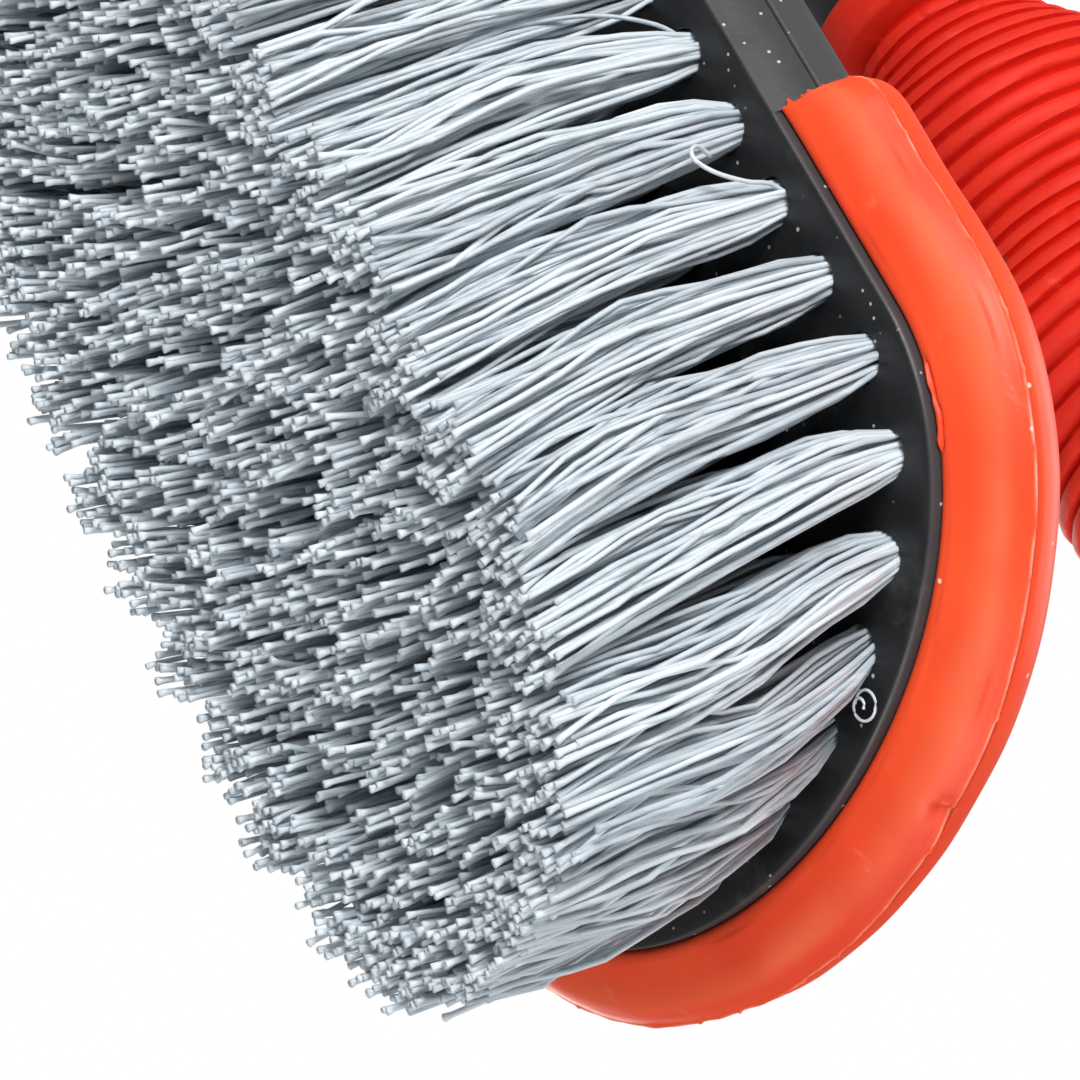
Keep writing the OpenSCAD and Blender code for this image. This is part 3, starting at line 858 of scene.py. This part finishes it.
def tuft_paths(points, seed, edge):
    """Paths and radii of the filaments of the tufts at points; edge is for the outer row."""
    g = rng(seed)
    per = EDGE_PER_TUFT if edge else ROW_PER_TUFT
    tufts = len(points)
    n = tufts * per

    def shared(draws):
        return np.repeat(draws, per, axis=0)

    p = shared(np.array(points))
    t = LEVELS[None, :, None]
    root_r, root_a = ROOT_R * np.sqrt(g.random(n)), g.random(n) * 2 * np.pi
    root = np.stack([np.cos(root_a), np.sin(root_a)], -1) * root_r[:, None]
    spread = root / ROOT_R * TIP_SPREAD + g.normal(0, TIP_SCATTER, (n, 2))
    spread = spread + shared(g.normal(0, TIP_SCATTER, (tufts, 2)))
    # the near tufts lean in along their whole length; the others straighten up and bend away
    # from them near the tips
    inner = smooth((p[:, 1] + 26) / 14)[:, None, None]
    fall = (1 - inner) * (0.6 * t + 0.4 * t**2) + inner * (1.7 * t - 0.7 * t**2)
    xy = p[:, None] + (tip_of(p) - p)[:, None] * fall + root[:, None] * (1 - t)
    xy = xy + spread[:, None] * np.clip(t, 0, 1) ** 0.62
    xy[..., 1:] += 4.2 * inner * (t**3 - t) * (t > 0)
    # crimp: each filament waves on its own, long and short, and a little with its tuft
    for size, low, high in ((0.34, 1.0, 2.0), (0.09, 2.2, 3.2)):
        amp = g.normal(0, size, (n, 1, 2))
        cycles, phase = g.uniform(low, high, (n, 1, 1)), g.random((n, 1, 1)) * 2 * np.pi
        xy += amp * np.sin(2 * np.pi * cycles * t + phase) * np.clip(2.2 * t, 0, 1)
    amp, phase = shared(g.normal(0, 0.3, (tufts, 1, 2))), shared(g.random((tufts, 1, 1)))
    xy += amp * np.sin(2 * np.pi * (0.9 * t + phase)) * np.clip(2 * t, 0, 1)
    # no filament reaches past the head's ends
    x = xy[..., 0]
    past = np.abs(x) - REACH_LIMIT
    xy[..., 0] = np.where(past > 0, np.sign(x) * (REACH_LIMIT - 0.15 * np.tanh(past)), x)
    # uneven lengths, most of all inside
    longest, power = (2.4, 2.2) if edge else (4.2, 1.5)
    short = longest * g.random(n) ** power + 0.12
    z = FACE_Z - (FACE_Z - short)[:, None] * LEVELS[None]
    # a cut tip is a little wider than its filament
    radii = np.full((n, len(LEVELS)), FILAMENT_R) * g.uniform(0.92, 1.08, (n, 1))
    radii[:, -1] *= g.uniform(1.2, 1.6, n)
    radii[:, -2] *= 1.02
    return np.concatenate([xy, z[:, :, None]], 2), radii


def strays():
    """Paths and radii of four loose filaments by the outer row; their third number is a height
    above the face, below it where negative: a curl, a hook, a whisker and one that leans out."""
    a = np.linspace(0, 3.0 * np.pi, 30)
    r = 1.35 - 0.085 * a
    curl = np.stack([66.0 + r * np.cos(a + 2.4), -13.0 + r * np.sin(a + 2.4), -0.6 - 0.10 * a], -1)
    hook = [
        (32.4, -29.2, 1.0), (31.9, -29.9, -1.2), (31.9, -30.1, -3.4), (31.1, -30.1, -5.8),
        (29.9, -30.0, -7.0), (28.9, -30.0, -6.9), (28.3, -29.8, -5.8), (28.5, -29.0, -4.2),
    ]
    whisker = [(62.6, 6.2, -2.6), (64.2, 4.4, -1.6), (65.2, 3.3, -0.9), (66.1, 2.5, -0.6)]
    lean_out = [
        (17.0, -28.6, 0.5), (15.6, -28.9, -2.0), (13.6, -27.6, -6.0), (12.7, -25.4, -11.0),
        (12.9, -23.2, -17.0),
    ]
    drawn = ((hook, 0.8), (whisker, 0.6), (lean_out, 0.8))
    for path, width in ((curl, 0.5), *((through(points, 5), w) for points, w in drawn)):
        path = path + [0, 0, FACE_Z]
        yield path[None], np.full((1, len(path)), FILAMENT_R * width)


def make_tufts():
    for i, (node, points) in enumerate(TUFTS.items()):
        shell = Shell()
        shell.add(*tubes(*tuft_paths(points, 40 + i, "row" not in node)))
        if node == "tufts_right":
            for path, radii in strays():
                shell.add(*tubes(path, radii))
        name = node.replace("tufts", "filaments")
        shell.piece(name, BRISTLE, node, recalc=False)


# ---- carried-over CAD nodes ----
CARRIED = (
    ("block_screws", steel("screw_zinc", 0.6)),
    ("tuft_staples", steel("staple_wire_grey", 0.66)),
)
for node, material in CARRIED:
    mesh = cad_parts[node].data
    mesh.materials.clear()
    mesh.materials.append(material)

drilled_block()
handle_body()
grip_sleeve()
end_plug()
nose_bumper()
make_tufts()

# ---- floor, light and camera, in metres ----
CENTRE = Vector((0.03, 0, 0.045))
FLOOR_HALF, FLOOR_DROP = 3.0, 0.0002
AMBIENT = 0.27
LIGHTS = (  # name, direction from CENTRE, distance, size, watts
    ("key", (-0.11, -0.92, -0.35), 0.7, 0.36, 5.4),
    ("fill_nose", (0.92, 0.12, -0.36), 0.8, 0.6, 3.6),
    ("top", (0.15, -0.2, 1.0), 0.8, 0.6, 4),
    ("rim", (-0.3, 0.9, 0.45), 0.8, 0.5, 2.5),
)
scene = bpy.context.scene


def floor():
    """A pale floor under the tips, clear on its underside: the brush is seen from below."""
    signs = ((-1, -1), (1, -1), (1, 1), (-1, 1))
    corners = [(x * FLOOR_HALF, y * FLOOR_HALF, -FLOOR_DROP) for x, y in signs]
    me = bpy.data.meshes.new("floor")
    me.from_pydata(corners, [], [(0, 1, 2, 3)])
    m = Nodes("floor_pale")
    tint = m.mix(m.noise(6, 3), rgb(0.86, 0.86, 0.86), rgb(0.90, 0.90, 0.90))
    m.finish(Base_Color=tint, Roughness=0.8)
    clear = m.new("ShaderNodeBsdfTransparent").outputs[0]
    sides = {0: m.geometry("Backfacing"), 1: m.shader.outputs[0], 2: clear}
    mix = m.new("ShaderNodeMixShader", sides)
    m.put(m.tree.nodes["Material Output"].inputs["Surface"], mix.outputs[0])
    me.materials.append(m.material)
    ob = bpy.data.objects.new("floor", me)
    scene.collection.objects.link(ob)
    ob.visible_shadow = ob.visible_diffuse = ob.visible_glossy = ob.visible_transmission = False


def area_light(name, direction, distance, size, watts):
    data = bpy.data.lights.new(name, "AREA")
    data.shape, data.size, data.energy = "DISK", size, watts
    ob = bpy.data.objects.new(name, data)
    direction = Vector(direction).normalized()
    ob.location = CENTRE + direction * distance
    ob.rotation_euler = direction.to_track_quat("Z", "Y").to_euler()
    scene.collection.objects.link(ob)


def white_world():
    """White behind the brush, and a dimmer white light on it from all round."""
    world = bpy.data.worlds.new("studio")
    world.use_nodes = True
    nt = world.node_tree
    seen = nt.nodes.new("ShaderNodeLightPath").outputs["Is Camera Ray"]
    power = nt.nodes.new("ShaderNodeMapRange")
    power.inputs["To Min"].default_value, power.inputs["To Max"].default_value = AMBIENT, 1.0
    nt.links.new(seen, power.inputs["Value"])
    back = nt.nodes["Background"]
    back.inputs["Color"].default_value = rgb(1, 1, 1)
    nt.links.new(power.outputs["Result"], back.inputs["Strength"])
    scene.world = world


def photo_camera():
    camera = bpy.data.cameras.new("photo_view")
    camera.sensor_width, camera.lens = 36, 166.67
    camera.clip_start, camera.clip_end = 0.01, 20
    eye = bpy.data.objects.new("photo_view", camera)
    eye.location = (0.20867, -0.22917, -0.20937)
    eye.rotation_euler = (3.0719, -0.88589, -0.84714)
    scene.collection.objects.link(eye)
    scene.camera = eye


floor()
white_world()
for light in LIGHTS:
    area_light(*light)
photo_camera()
scene.view_settings.view_transform = "Standard"
scene.view_settings.look = "None"
